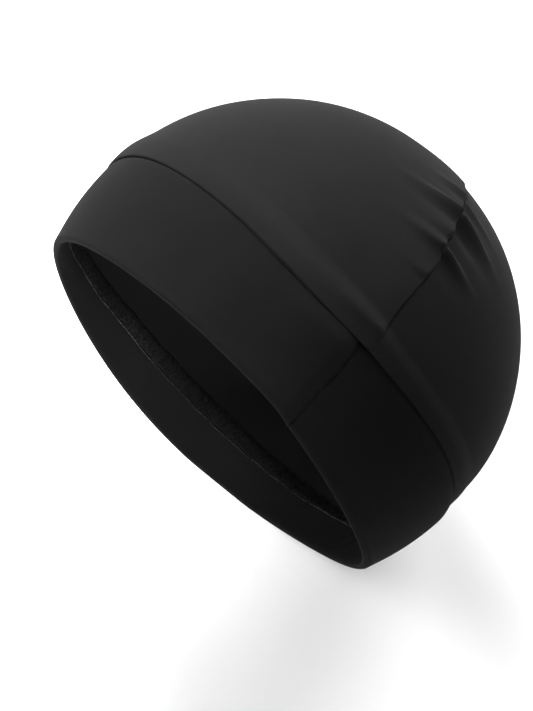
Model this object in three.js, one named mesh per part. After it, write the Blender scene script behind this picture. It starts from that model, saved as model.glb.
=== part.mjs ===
import * as THREE from 'three';

// A close-fitting skull cap of thin knitted cloth: a crown with one seam up its back, on a hemmed head band.
// It lies on its side, its opening to the front and its crown to the back, a little flattened where it rests.
// Cap frame: +Z runs from the middle of the rim to the top of the crown, +X points to the back seam, and
// angles are counted from +X towards +Y. Sizes are in millimetres, and angles in tables in degrees.

// Driving sizes
const cap = {
  rimHalfBreadth: 84,
  lengthOverBreadth: 1.1,
  bandHeight: 39.2,
  bandFlare: 7,
  bandTuck: 1.3,
  bandTuckSpread: 1.6,
  crownHalfBreadth: 90,
  crownHeight: 91,
  forwardLean: 5.5,
};

const cloth = {
  thickness: 1.2,
  layerGap: 0.6,
  seatGap: 0.3,
  hemHeight: 14.5,
  foldRadius: 1.5,
  foldSteps: 5,
  wallSteps: 5,
};

const lip = { rise: 4.5, spread: 4.5, bulge: 1.7, tuck: 1.6, tuckSpread: 1.3 };

const overlock = { width: 4.5, thickness: 1.7, rounding: 0.57 };
const joiningAllowance = { fromRise: 1, toRise: 4.5, thickness: 1.6 };
const backAllowance = { width: 6.5, thickness: 1.1, edge: 0.4, fromRise: 5.5, toRise: 100, steps: 26 };

// The seams up the back: the cloth on the left, over the turned allowance, stands higher than on the right
const backSeam = {
  stepHeight: 1.1,
  stepWidth: 0.9,
  shoulder: 6.5,
  shoulderFall: 4,
  startAngle: 1.5,
  straightFrom: 14,
  fadeFrom: 95,
  fadeTo: 122,
};
const bandJoint = { rimAngle: 2.5, topAngle: -1, stepHeight: 1.1, bottomGap: 1.2, topGap: 4.8, steps: 4 };

// How the cap rests: crown raised off the level, back seam turned from the top, cloth pressed flat below
const rest = { crownRaise: 8.5, seamFromTop: 34.15, pressDepth: 4, softEdge: 1.2 };
const restSearch = { turns: 180, levels: 10, crownTo: 20 };

// Slow waves of the two edges round the cap: crests round it, and their cosine and sine shares
const rimWaves = [
  { crests: 2, cosine: -1.4, sine: -0.3 },
  { crests: 3, cosine: 1.0, sine: -0.6 },
];
const joinWaves = [
  { crests: 2, cosine: 1.7, sine: 0.0 },
  { crests: 3, cosine: -2.2, sine: 1.9 },
];

// Gathers beside the crown's back seam: side of the seam, place along it as an angle from the band,
// reach away from it, lift of the ridge, its half width, and how far it sinks along its reach
const gatherStart = { from: -1, to: 2.5 };
const gathers = [
  { side: -1, along: 34.5, reach: 15, lift: 1.6, spread: 3.0, sink: 2.5 },
  { side: -1, along: 43.5, reach: 13, lift: 1.4, spread: 2.7, sink: 3.0 },
  { side: -1, along: 51.0, reach: 24, lift: 1.7, spread: 3.0, sink: 7.0 },
  { side: -1, along: 59.5, reach: 16, lift: 0.9, spread: 3.2, sink: 4.0 },
  { side: 1, along: 33.5, reach: 17, lift: 1.4, spread: 3.2, sink: 1.0 },
  { side: 1, along: 48.0, reach: 20, lift: 1.7, spread: 3.0, sink: 5.0 },
  { side: 1, along: 56.0, reach: 17, lift: 1.2, spread: 2.8, sink: 4.0 },
];

// Mesh fineness: columns crowd towards the back seam and the pressed patch, rows towards lip and gathers
const seamColumns = { span: 36, count: 11, power: 1.6 };
const columnZones = [
  { from: 36, to: 116, steps: 7 },
  { from: 116, to: 176, steps: 12 },
  { from: 176, to: 324, steps: 13 },
];
const crownRows = [
  { from: 0.2, to: 2.9, steps: 3 },
  { from: 2.9, to: 7.5, steps: 2 },
  { from: 7.5, to: 30, steps: 4 },
  { from: 30, to: 60, steps: 12 },
  { from: 60, to: 84, steps: 3 },
];

const radians = THREE.MathUtils.degToRad;

function smoothStep(value, from, to) {
  const share = THREE.MathUtils.clamp((value - from) / (to - from), 0, 1);
  return share * share * (3 - 2 * share);
}

function bell(distance, spread) {
  return Math.exp(-((distance / spread) ** 2));
}

function waveHeight(waves, angle) {
  let height = 0;
  for (const wave of waves) {
    height += wave.cosine * Math.cos(wave.crests * angle) + wave.sine * Math.sin(wave.crests * angle);
  }
  return height;
}

// Step of a seam that is sewn with its allowance turned to the left, for a signed distance from it
function seamStep(distance, height) {
  const plateau = 1 - smoothStep(-distance, backSeam.shoulder, backSeam.shoulder + backSeam.shoulderFall);
  const edge = smoothStep(-distance, 0, backSeam.stepWidth);
  return height * plateau * edge;
}

function gatherLift(distance, along) {
  const arcPerDegree = radians(1) * cap.crownHalfBreadth;
  let lift = 0;
  for (const gather of gathers) {
    const away = distance * gather.side;
    const reached = Math.max(away, 0) / gather.reach;
    const middle = gather.along * arcPerDegree - gather.sink * reached;
    const across = bell(along * arcPerDegree - middle, gather.spread);
    const start = smoothStep(away, gatherStart.from, gatherStart.to);
    lift += gather.lift * across * start * bell(reached, 1);
  }
  return lift;
}

// Point of the oval section of a given half breadth, leaned towards the brow as it rises
function ovalPoint(angle, halfBreadth, height) {
  const topHeight = cap.bandHeight + cap.crownHeight;
  return new THREE.Vector3(
    cap.lengthOverBreadth * halfBreadth * Math.cos(angle) - cap.forwardLean * (height / topHeight),
    halfBreadth * Math.sin(angle),
    height,
  );
}

// Band: the outer face flares as a parabola from the rim to the joining seam, moved outwards by an offset
function bandForm(angle, height, offset) {
  const share = height / cap.bandHeight;
  const turned = angle + radians(THREE.MathUtils.lerp(bandJoint.rimAngle, bandJoint.topAngle, share));
  const tuck = cap.bandTuck * bell(cap.bandHeight - height, cap.bandTuckSpread);
  const halfBreadth = cap.rimHalfBreadth + cap.bandFlare * (1 - (1 - share) ** 2) - tuck;
  const wave = waveHeight(rimWaves, turned) * (1 - share) + waveHeight(joinWaves, turned) * share;
  return ovalPoint(turned, halfBreadth + offset, height + wave);
}

function bandSheet(angle, height, inset) {
  const distance = Math.cos(angle) > 0 ? cap.rimHalfBreadth * Math.sin(angle) : cap.rimHalfBreadth;
  return bandForm(angle, height, seamStep(distance, bandJoint.stepHeight) - inset);
}

// Crown: a quarter ellipse from the joining seam to the top, moved outwards by an offset
function crownForm(angle, riseAngle, offset) {
  const rise = radians(riseAngle);
  const turned = angle + radians(backSeam.startAngle) * (1 - smoothStep(riseAngle, 0, backSeam.straightFrom));
  const halfBreadth = (cap.crownHalfBreadth + offset) * Math.cos(rise);
  const height = cap.bandHeight + (cap.crownHeight + offset) * Math.sin(rise);
  return ovalPoint(turned, halfBreadth, height + waveHeight(joinWaves, turned) * (1 - Math.sin(rise)));
}

// How far the lip, the back seam and the gathers stand out from that form
function crownRelief(angle, riseAngle) {
  const rise = radians(riseAngle);
  const aboveSeam = cap.crownHeight * Math.sin(rise);
  const along = THREE.MathUtils.radToDeg(Math.atan2(Math.sin(rise), Math.cos(rise) * Math.cos(angle)));
  const distance = cap.crownHalfBreadth * Math.cos(rise) * Math.sin(angle);
  const seamShare = 1 - smoothStep(along, backSeam.fadeFrom, backSeam.fadeTo);
  const bulge = lip.bulge * bell(aboveSeam - lip.rise, lip.spread);
  const tuck = lip.tuck * bell(aboveSeam, lip.tuckSpread);
  return bulge - tuck + seamShare * (seamStep(distance, backSeam.stepHeight) + gatherLift(distance, along));
}

function crownSheet(angle, riseAngle, inset) {
  return crownForm(angle, riseAngle, crownRelief(angle, riseAngle) - inset);
}

// The table top seen from the cap frame
const upward = new THREE.Vector3(
  Math.cos(radians(rest.crownRaise)) * Math.cos(radians(rest.seamFromTop)),
  -Math.cos(radians(rest.crownRaise)) * Math.sin(radians(rest.seamFromTop)),
  Math.sin(radians(rest.crownRaise)),
);

function lowestHeight() {
  let lowest = Infinity;
  for (let turn = 0; turn < restSearch.turns; turn += 1) {
    const angle = (2 * Math.PI * turn) / restSearch.turns;
    for (let level = 0; level <= restSearch.levels; level += 1) {
      const onBand = bandSheet(angle, (level / restSearch.levels) * cap.bandHeight, 0);
      const onCrown = crownSheet(angle, (level / restSearch.levels) * restSearch.crownTo, 0);
      lowest = Math.min(lowest, onBand.dot(upward), onCrown.dot(upward));
    }
  }
  return lowest;
}
const tableHeight = lowestHeight() + rest.pressDepth;

// Lifts a point as far as its outer face would sink into the table, so that every layer keeps its thickness
function pressed(point, outerPoint) {
  const clearance = outerPoint.dot(upward) - tableHeight;
  let lift = 0;
  if (clearance < -rest.softEdge) {
    lift = -clearance;
  } else if (clearance < rest.softEdge) {
    lift = (rest.softEdge - clearance) ** 2 / (4 * rest.softEdge);
  }
  return point.addScaledVector(upward, lift);
}

function bandPoint(angle, height, inset) {
  return pressed(bandSheet(angle, height, inset), bandSheet(angle, Math.max(height, 0), 0));
}

function crownPoint(angle, riseAngle, inset) {
  return pressed(crownSheet(angle, riseAngle, inset), crownSheet(angle, riseAngle, 0));
}

function columnAngles() {
  const angles = [];
  for (let column = -seamColumns.count; column <= seamColumns.count; column += 1) {
    const share = Math.abs(column) / seamColumns.count;
    angles.push(Math.sign(column) * seamColumns.span * share ** seamColumns.power);
  }
  for (const zone of columnZones) {
    for (let step = 1; step <= zone.steps; step += 1) {
      angles.push(THREE.MathUtils.lerp(zone.from, zone.to, step / zone.steps));
    }
  }
  angles.pop();
  return angles.map(radians);
}

function geometryOf(points, triangles) {
  const geometry = new THREE.BufferGeometry();
  const positions = points.flatMap((point) => point.toArray());
  geometry.setAttribute('position', new THREE.Float32BufferAttribute(positions, 3));
  geometry.setIndex(triangles);
  geometry.computeVertexNormals();
  return geometry;
}

// Ring swept round the cap from a closed section, which runs down its outer side and up its inner side
function ringGeometry(section, pointAt) {
  const angles = columnAngles();
  const points = [];
  for (const angle of angles) {
    for (const corner of section) {
      points.push(pointAt(angle, corner.height, corner.inset));
    }
  }
  const triangles = [];
  const count = section.length;
  for (let column = 0; column < angles.length; column += 1) {
    const next = (column + 1) % angles.length;
    for (let row = 0; row < count; row += 1) {
      const above = (row + 1) % count;
      const [a, b] = [column * count + row, next * count + row];
      const [c, d] = [next * count + above, column * count + above];
      triangles.push(a, d, b, b, d, c);
    }
  }
  return geometryOf(points, triangles);
}

// Strip with closed ends, swept along a seam from a four-cornered section
function stripGeometry(stations, sectionAt) {
  const points = stations.flatMap((station) => sectionAt(station));
  const triangles = [0, 1, 2, 0, 2, 3];
  for (let station = 0; station < stations.length - 1; station += 1) {
    for (let corner = 0; corner < 4; corner += 1) {
      const next = (corner + 1) % 4;
      const [a, b] = [station * 4 + corner, station * 4 + next];
      triangles.push(a, b + 4, b, a, a + 4, b + 4);
    }
  }
  const last = (stations.length - 1) * 4;
  triangles.push(last, last + 2, last + 1, last, last + 3, last + 2);
  return geometryOf(points, triangles);
}

// J-shaped section: down the outer face, round the fold of the rim, up the hem, and back between the layers
function bandSection() {
  const top = cap.bandHeight - cloth.seatGap / 2;
  const straightTop = cap.bandHeight - 2 * cap.bandTuckSpread;
  const hemOuter = cloth.thickness + cloth.layerGap;
  const hemInner = hemOuter + cloth.thickness;
  const section = [{ inset: 0, height: top }, { inset: 0, height: (top + straightTop) / 2 }];
  for (let step = 0; step <= cloth.wallSteps; step += 1) {
    const height = THREE.MathUtils.lerp(straightTop, cloth.foldRadius, step / cloth.wallSteps);
    section.push({ inset: 0, height });
  }
  for (let step = 1; step < cloth.foldSteps; step += 1) {
    const turn = (Math.PI * step) / cloth.foldSteps;
    const inset = (hemInner * (1 - Math.cos(turn))) / 2;
    section.push({ inset, height: cloth.foldRadius * (1 - Math.sin(turn)) });
  }
  section.push({ inset: hemInner, height: cloth.foldRadius });
  section.push({ inset: hemInner, height: cloth.hemHeight / 2 });
  section.push({ inset: hemInner, height: cloth.hemHeight });
  section.push({ inset: hemOuter, height: cloth.hemHeight });
  section.push({ inset: hemOuter, height: cloth.foldRadius });
  section.push({ inset: cloth.thickness, height: cloth.foldRadius });
  section.push({ inset: cloth.thickness, height: cloth.hemHeight });
  section.push({ inset: cloth.thickness, height: (cloth.hemHeight + straightTop) / 2 });
  section.push({ inset: cloth.thickness, height: straightTop });
  section.push({ inset: cloth.thickness, height: top });
  return section;
}

function crownRiseAngles() {
  const angles = [crownRows[0].from];
  for (const part of crownRows) {
    for (let step = 1; step <= part.steps; step += 1) {
      angles.push(THREE.MathUtils.lerp(part.from, part.to, step / part.steps));
    }
  }
  return angles;
}

// Closed shell: up the outer face to its pole and down the inner face to its own
function crownGeometry() {
  const angles = columnAngles();
  const rises = crownRiseAngles();
  const points = [];
  for (const inset of [0, cloth.thickness]) {
    for (const rise of rises) {
      for (const angle of angles) {
        points.push(crownPoint(angle, rise, inset));
      }
    }
  }
  const outerPole = points.length;
  points.push(crownPoint(0, 90, 0), crownPoint(0, 90, cloth.thickness));
  const innerPole = outerPole + 1;
  const count = angles.length;
  const innerStart = rises.length * count;
  const triangles = [];
  for (let column = 0; column < count; column += 1) {
    const next = (column + 1) % count;
    for (let row = 0; row < rises.length - 1; row += 1) {
      const [a, b] = [row * count + column, row * count + next];
      const [c, d] = [b + count, a + count];
      const inner = [a, c, b, a, d, c].map((corner) => innerStart + corner);
      triangles.push(a, b, c, a, c, d, ...inner);
    }
    const topRow = (rises.length - 1) * count;
    triangles.push(topRow + column, topRow + next, outerPole);
    triangles.push(innerStart + topRow + next, innerStart + topRow + column, innerPole);
    triangles.push(column, innerStart + column, innerStart + next, column, innerStart + next, next);
  }
  return geometryOf(points, triangles);
}

// Thread-covered raw edge of the hem, just above it
function hemOverlockSection() {
  const bottom = cloth.hemHeight + cloth.seatGap;
  const outer = cloth.thickness + cloth.layerGap;
  const inner = outer + overlock.thickness;
  return [
    { inset: outer, height: bottom + overlock.width },
    { inset: outer, height: bottom },
    { inset: inner - overlock.rounding, height: bottom },
    { inset: inner, height: bottom + overlock.rounding },
    { inset: inner, height: bottom + overlock.width - overlock.rounding },
    { inset: inner - overlock.rounding, height: bottom + overlock.width },
  ];
}

// Overlocked allowance of the joining seam, turned up inside the crown on the crown's own rows
function joiningAllowanceSection() {
  const outer = cloth.thickness + cloth.layerGap;
  const inner = outer + joiningAllowance.thickness;
  const inRange = (rise) => rise > joiningAllowance.fromRise && rise < joiningAllowance.toRise;
  const upwards = crownRiseAngles().filter(inRange);
  const downwards = [...upwards].reverse();
  return [
    ...downwards.map((height) => ({ inset: outer, height })),
    ...upwards.map((height) => ({ inset: inner, height })),
  ];
}

// The four corners of an allowance strip at one station of the crown's back seam, which passes over the top
function crownAllowanceCorners(along) {
  const outer = cloth.thickness + cloth.seatGap;
  const inner = outer + backAllowance.thickness;
  const cornerAt = (distance, inset) => {
    const towardsBack = Math.cos(radians(along)) * cap.crownHalfBreadth;
    const angle = Math.atan2(-distance, towardsBack);
    const outwards = Math.hypot(distance, towardsBack) / cap.crownHalfBreadth;
    const rise = THREE.MathUtils.radToDeg(Math.acos(Math.min(outwards, 1)));
    return pressed(crownForm(angle, rise, -inset), crownSheet(angle, rise, 0));
  };
  const [near, far] = [backAllowance.edge, backAllowance.width];
  return [cornerAt(near, outer), cornerAt(far, outer), cornerAt(far, inner), cornerAt(near, inner)];
}

function bandAllowanceCorners(height) {
  const outer = cloth.thickness + cloth.seatGap;
  const inner = outer + backAllowance.thickness;
  const near = -backAllowance.edge / cap.crownHalfBreadth;
  const far = -backAllowance.width / cap.crownHalfBreadth;
  return [
    bandForm(near, height, -outer),
    bandForm(far, height, -outer),
    bandForm(far, height, -inner),
    bandForm(near, height, -inner),
  ];
}

function evenStations(from, to, steps) {
  return Array.from({ length: steps + 1 }, (unused, step) => THREE.MathUtils.lerp(from, to, step / steps));
}

const finish = {
  crown: { colour: 0x1b1b1d, roughness: 0.9 },
  band: { colour: 0x19191b, roughness: 0.9 },
  thread: { colour: 0x202022, roughness: 0.8 },
};

function piece(name, geometry, cover) {
  const look = { color: cover.colour, roughness: cover.roughness, metalness: 0 };
  const material = new THREE.MeshStandardMaterial(look);
  const made = new THREE.Mesh(geometry, material);
  made.name = name;
  return made;
}

function buildCap() {
  const crownStations = evenStations(backAllowance.fromRise, backAllowance.toRise, backAllowance.steps);
  const bandAllowanceBottom = cloth.hemHeight + overlock.width + bandJoint.bottomGap;
  const bandAllowanceTop = cap.bandHeight - bandJoint.topGap;
  const bandStations = evenStations(bandAllowanceBottom, bandAllowanceTop, bandJoint.steps);
  const whole = new THREE.Group();
  whole.add(
    piece('crown', crownGeometry(), finish.crown),
    piece('band', ringGeometry(bandSection(), bandPoint), finish.band),
    piece('hem_overlock', ringGeometry(hemOverlockSection(), bandPoint), finish.thread),
    piece('joining_seam_allowance', ringGeometry(joiningAllowanceSection(), crownPoint), finish.thread),
    piece('crown_seam_allowance', stripGeometry(crownStations, crownAllowanceCorners), finish.thread),
    piece('band_joint_allowance', stripGeometry(bandStations, bandAllowanceCorners), finish.thread),
  );
  return whole;
}

// Laid down: the back seam is turned about the cap's own axis, then the axis is tipped to lie along +Y
function layDown(wholeCap) {
  const turned = new THREE.Group();
  turned.add(wholeCap);
  turned.rotation.z = radians(rest.seamFromTop - 90);
  const tipped = new THREE.Group();
  tipped.add(turned);
  tipped.rotation.x = radians(rest.crownRaise - 90);
  const placed = new THREE.Group();
  placed.add(tipped);
  const box = new THREE.Box3().setFromObject(placed, true);
  const middle = box.getCenter(new THREE.Vector3());
  placed.position.set(-middle.x, -middle.y, -box.min.z);
  return placed;
}

export default layDown(buildCap());
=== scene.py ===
import math

import bpy
import numpy as np
from mathutils import Matrix, Vector


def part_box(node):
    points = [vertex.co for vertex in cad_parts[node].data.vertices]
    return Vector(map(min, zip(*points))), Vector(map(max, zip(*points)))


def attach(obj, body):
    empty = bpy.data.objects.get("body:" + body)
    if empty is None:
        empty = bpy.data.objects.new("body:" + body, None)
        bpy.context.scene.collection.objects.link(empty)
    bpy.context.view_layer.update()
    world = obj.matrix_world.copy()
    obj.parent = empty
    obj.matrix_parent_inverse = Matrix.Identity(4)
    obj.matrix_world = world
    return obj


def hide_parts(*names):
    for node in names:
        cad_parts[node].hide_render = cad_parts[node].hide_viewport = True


# A close-fitting skull cap of thin black jersey, lying on its side on a white table.
# Shapes are worked out in the cap's own frame in millimetres: x to the back seam, z from the rim to the top.
# Angles go round the cap from the back seam, and everything is laid down into the frame at the very end.

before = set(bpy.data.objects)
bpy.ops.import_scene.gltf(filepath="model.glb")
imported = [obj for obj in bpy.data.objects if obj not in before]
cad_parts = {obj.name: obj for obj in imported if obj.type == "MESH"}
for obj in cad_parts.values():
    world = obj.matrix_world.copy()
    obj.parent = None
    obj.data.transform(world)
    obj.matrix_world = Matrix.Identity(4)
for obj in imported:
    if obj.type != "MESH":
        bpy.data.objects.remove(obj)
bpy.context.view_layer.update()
mm = 0.001
fullTurn = 2.0 * math.pi
random = np.random.default_rng(7)
print("frame loaded with", len(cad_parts), "solid pieces")


# Small curves used by every shape

def smoothStep(value, start, end):  # from 0 to 1, eased as 3 s squared minus 2 s cubed of the share s
    share = np.clip((value - start) / (end - start), 0.0, 1.0)
    return share * share * (3.0 - 2.0 * share)


def bell(distance, spread):  # e to the power of minus the square of distance over spread
    return np.exp(-((distance / spread) ** 2))


def stacked(*parts):  # arrays brought to one shape and laid side by side along a new last axis
    return np.stack(np.broadcast_arrays(*parts), axis=-1)


def aroundBack(angle):  # angle in degrees from the back seam, from -180 to 180
    return np.degrees(np.arctan2(np.sin(angle), np.cos(angle)))


# The form of the cap

capForm = {
    "rimHalfBreadth": 84.0,  # half the outer breadth at the rim
    "lengthOverBreadth": 1.1,  # brow to nape over side to side
    "bandHeight": 39.2,
    "bandFlare": 7.0,  # how much wider the band is at the joining seam
    "crownHalfBreadth": 90.0,
    "crownHeight": 91.0,  # joining seam to the top
    "forwardLean": 5.5,  # the top lies this much nearer the brow
    "rimWaves": [(2, -1.4, -0.3), (3, 1.0, -0.6)],  # crests round the cap, cosine share, sine share
    "joinWaves": [(2, 1.7, 0.0), (3, -2.2, 1.9)],
    "bandJointAngle": (2.5, -1.0),  # degrees from the back line, at the rim and at the joining seam
    "crownSeamStart": 1.5,  # degrees from the back line where the crown's seam starts
    "crownSeamStraightFrom": 14.0,  # degrees up the crown
    "clothThickness": 1.2,
}


def waveHeight(waves, angle):  # sum of a slow cosine and sine wave for each row
    height = np.zeros_like(angle)
    for crests, cosine, sine in waves:
        height = height + cosine * np.cos(crests * angle) + sine * np.sin(crests * angle)
    return height


def ovalPoints(angle, halfBreadth, height):  # an oval, longer from brow to nape, leaned forward with height
    topHeight = capForm["bandHeight"] + capForm["crownHeight"]
    lean = capForm["forwardLean"] * height / topHeight
    x = capForm["lengthOverBreadth"] * halfBreadth * np.cos(angle) - lean
    y = halfBreadth * np.sin(angle)
    return stacked(x, y, height)


# How the cap lies: crown raised a little, back seam turned from the top, cloth pressed flat on the table

lying = {"crownRaise": 8.5, "seamFromTop": 34.15, "softEdge": 1.2}


def capAxes():  # rows are the cap's x, y and z axes in the frame
    lift = math.radians(lying["crownRaise"])
    turn = math.radians(lying["seamFromTop"])
    crownAxis = np.array([0.0, math.cos(lift), math.sin(lift)])
    topAxis = np.array([0.0, -math.sin(lift), math.cos(lift)])
    backAxis = math.sin(turn) * np.array([1.0, 0.0, 0.0]) + math.cos(turn) * topAxis
    return np.stack([backAxis, np.cross(crownAxis, backAxis), crownAxis])


axes = capAxes()

bandJoint = {  # allowance of the joint of the band's ends, a strip inside, on its left
    "edge": 0.4,  # from the joint to its near side
    "width": 6.5,
    "inset": 1.5,  # from the outer face
    "thickness": 1.1,
    "heights": (20.2, 34.4),
}


def bandForm(angle, height, offset):  # outer face as a parabola from the rim to the seam, moved outwards
    share = height / capForm["bandHeight"]
    rimAngle, topAngle = capForm["bandJointAngle"]
    turned = angle + np.radians(rimAngle + (topAngle - rimAngle) * share)
    halfBreadth = capForm["rimHalfBreadth"] + capForm["bandFlare"] * (1.0 - (1.0 - share) ** 2)
    wave = waveHeight(capForm["rimWaves"], turned) * (1.0 - share)
    wave = wave + waveHeight(capForm["joinWaves"], turned) * share
    return ovalPoints(turned, halfBreadth + offset, height + wave)


def capShift():  # the joint's solid lies on the plain form, so its box tells where the cap frame is
    angle = -np.array([bandJoint["edge"], bandJoint["width"]]) / capForm["crownHalfBreadth"]
    height = np.linspace(*bandJoint["heights"], 5)[:, None]
    layers = [bandJoint["inset"], bandJoint["inset"] + bandJoint["thickness"]]
    corners = np.concatenate([bandForm(angle, height, -inset).reshape(-1, 3) for inset in layers])
    low, high = (np.array(corner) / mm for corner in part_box("band_joint_allowance"))
    ends = corners @ axes
    print("band joint allowance fits its solid within", np.round(np.ptp(ends, axis=0) - (high - low), 3))
    return low - ends.min(0)


shift = capShift()


def layDown(points):  # millimetres in the cap frame to metres in the frame
    return (points @ axes + shift) * mm


def pressed(points, outerPoints):
    # lifts each layer by as much as its outer face would sink into the table, eased by a parabola near it
    upward = axes[:, 2]
    clearance = outerPoints @ upward + shift[2]
    soft = lying["softEdge"]
    gentle = (soft - clearance) ** 2 / (4.0 * soft)
    lift = np.where(clearance < -soft, -clearance, np.where(clearance < soft, gentle, 0.0))
    return points + lift[..., None] * upward


print("cap frame at", np.round(shift, 2))


# Meshes from grids

def addObject(name, data):  # wraps a mesh, camera or lamp and puts it into the scene
    thing = bpy.data.objects.new(name, data)
    bpy.context.scene.collection.objects.link(thing)
    return thing


def makePiece(name, points, faceSets, uvSets, material):
    # points is (n, 3) in metres, faceSets are index arrays with one face a row,
    # and uvSets match them corner by corner
    mesh = bpy.data.meshes.new(name)
    corners = np.concatenate([faces.ravel() for faces in faceSets])
    sizes = np.concatenate([np.full(len(faces), faces.shape[1]) for faces in faceSets])
    starts = np.concatenate([[0], np.cumsum(sizes)[:-1]])
    mesh.vertices.add(len(points))
    mesh.vertices.foreach_set("co", points.astype(np.float32).ravel())
    mesh.loops.add(len(corners))
    mesh.loops.foreach_set("vertex_index", corners.astype(np.int32))
    mesh.polygons.add(len(sizes))
    mesh.polygons.foreach_set("loop_start", starts.astype(np.int32))
    mesh.update(calc_edges=True)
    mesh.polygons.foreach_set("use_smooth", np.ones(len(sizes), dtype=bool))
    layer = mesh.uv_layers.new(name="cloth")
    flat = np.concatenate([uv.reshape(-1, 2) for uv in uvSets])
    layer.uv.foreach_set("vector", flat.astype(np.float32).ravel())
    mesh.update()
    piece = addObject(name, mesh)
    mesh.materials.append(material)
    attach(piece, "root")
    triangles = int((sizes - 2).sum())
    print(f"{name}: {len(points)} points, {triangles} triangles")
    return piece


def gridFaces(rows, columns, closedRows, closedColumns=True):
    # quads between neighbouring rows and columns; uv corners index a grid one wider and taller
    row = np.arange(rows if closedRows else rows - 1)[:, None]
    column = np.arange(columns if closedColumns else columns - 1)[None, :]
    above = (row + 1) % rows
    after = (column + 1) % columns
    faces = stacked(row * columns + column, row * columns + after, above * columns + after,
                    above * columns + column)
    wide = columns + 1 if closedColumns else columns
    places = stacked(row * wide + column, row * wide + column + 1, (row + 1) * wide + column + 1,
                     (row + 1) * wide + column)
    return faces.reshape(-1, 4), places.reshape(-1, 4)


# Columns round the cap: one a degree or so, and crowded at the back seam where the cloth steps

def columnAngles(everyDegrees, crowdedSpan, crowdedCount, crowding):
    # within the crowded span the angles grow as a power of their share, beyond it they are even
    share = np.arange(-crowdedCount, crowdedCount + 1) / crowdedCount
    crowded = crowdedSpan * np.sign(share) * np.abs(share) ** crowding
    openSpan = 360.0 - 2.0 * crowdedSpan
    openCount = int(round(openSpan / everyDegrees))
    plain = crowdedSpan + openSpan * np.arange(1, openCount) / openCount
    return np.radians(np.concatenate([crowded, plain]))


# The seams up the back: the cloth on the left lies over the turned allowance

backSeam = {
    "stepHeight": 1.0,
    "stepWidth": 0.4,
    "shoulder": 1.0,  # flat over the allowance, then it sinks back slowly
    "shoulderFall": 24.0,
    "groove": 0.5,  # the right panel is pulled down beside the seam
    "grooveWidth": 0.32,
    "ridge": 2.4,  # the seam is stiff and stands out as a soft corner
    "ridgeReach": 24.0,
    "ridgeSoft": 1.5,
    "ridgeFade": (35.0, 70.0),
    "fadeFrom": 95.0,  # degrees over the top where the seam runs out
    "fadeTo": 122.0,
    "lostBelow": (3.2, 7.5),  # the step is lost in the puckers at these heights over the joining seam
    "jogs": [  # height along the crown in degrees, shift to the right and spread
        (30.5, -1.2, 2.0),
        (34.4, -2.0, 2.4),
        (40.5, -2.2, 3.4),
        (47.0, -3.0, 4.0),
        (54.0, -2.6, 4.0),
        (65.0, -2.0, 7.0),
    ],
    "jogReach": 12.0,
}


def softCorner(away):  # e to the minus distance over reach, with the distance rounded at the seam
    distance = np.sqrt(away ** 2 + backSeam["ridgeSoft"] ** 2)
    return backSeam["ridge"] * np.exp(-distance / backSeam["ridgeReach"])


def seamStep(away, stepHeight, stepWidth):  # up beside the seam, flat over the allowance, then slowly down
    fall = smoothStep(-away, backSeam["shoulder"], backSeam["shoulder"] + backSeam["shoulderFall"])
    return stepHeight * (1.0 - fall) * smoothStep(-away, 0.0, stepWidth)


# The crown

lipRadius = 0.6  # rounded lower edge of the crown
lipColumns = ("angle", "edge", "peak", "reach", "fallFrom", "fallTo", "drop", "hang")
lip = dict(zip(lipColumns, np.array([
    # how far its edge and its fullest place stand out, at what height, where and by what share it drops,
    # and how far its edge hangs over the band
    (-180.0, 0.7, 1.2, 7.0, 7.0, 14.0, 0.0, 0.5),
    (-105.0, 1.7, 2.2, 6.0, 7.0, 20.0, 0.7, 0.3),
    (-64.0, 1.0, 1.65, 8.5, 7.0, 14.0, 0.05, 0.5),
    (-50.0, 1.15, 1.8, 8.5, 6.0, 13.5, 0.2, 0.1),
    (-38.0, 1.3, 1.95, 8.5, 5.5, 13.5, 0.3, -0.2),
    (-24.0, 1.85, 2.25, 8.5, 5.2, 13.5, 0.55, 0.1),
    (-11.0, 2.45, 2.6, 7.5, 5.8, 13.0, 0.8, 1.1),
    (-1.0, 2.2, 2.35, 7.0, 5.6, 12.0, 0.8, 1.2),
    (6.0, 1.3, 1.5, 6.0, 4.6, 10.0, 0.65, 1.3),
    (20.0, 1.1, 1.3, 4.5, 3.5, 9.0, 0.6, 1.4),
    (50.0, 1.1, 1.3, 4.5, 3.5, 10.0, 0.6, 1.2),
    (90.0, 0.9, 1.2, 7.0, 7.0, 14.0, 0.3, 0.8),
    (180.0, 0.7, 1.2, 7.0, 7.0, 14.0, 0.0, 0.5),
]).T))
lipHangEnd = 8.0  # height over the joining seam where the lip's hang has run out
lipTail = (8.0, 60.0)  # heights between which its swell runs out
fullness = {"rise": 0.4, "from": 12.0, "to": 45.0}  # the crown is this much rounder above its lip
# the cloth hangs in a little at the right, and over the top beside the seam's end
sideSlack = {"depth": 2.1, "place": 82.0, "spread": 24.0, "height": 14.0}
topSlack = {"depth": 0.4, "place": 62.0, "reach": 22.0, "spread": 16.0}
lipKnots = [  # the crossing of the seams is puckered: place beside the seam, height above, spread and lift
    (-2.2, 7.4, 1.5, 0.5),
    (-0.4, 6.6, 0.9, 0.35),
    (1.4, 4.4, 1.2, 0.3),
    (-1.9, 3.0, 0.9, -0.15),
    (0.2, 2.0, 0.9, 0.25),
    (0.3, 4.9, 0.7, -0.3),
    (3.0, 2.4, 1.2, -0.2),
]


def lipHang(angle, above):  # the table's hang, less with height
    hang = np.interp(aroundBack(angle), lip["angle"], lip["hang"])
    return hang * (1.0 - smoothStep(above, 0.0, lipHangEnd))


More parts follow.
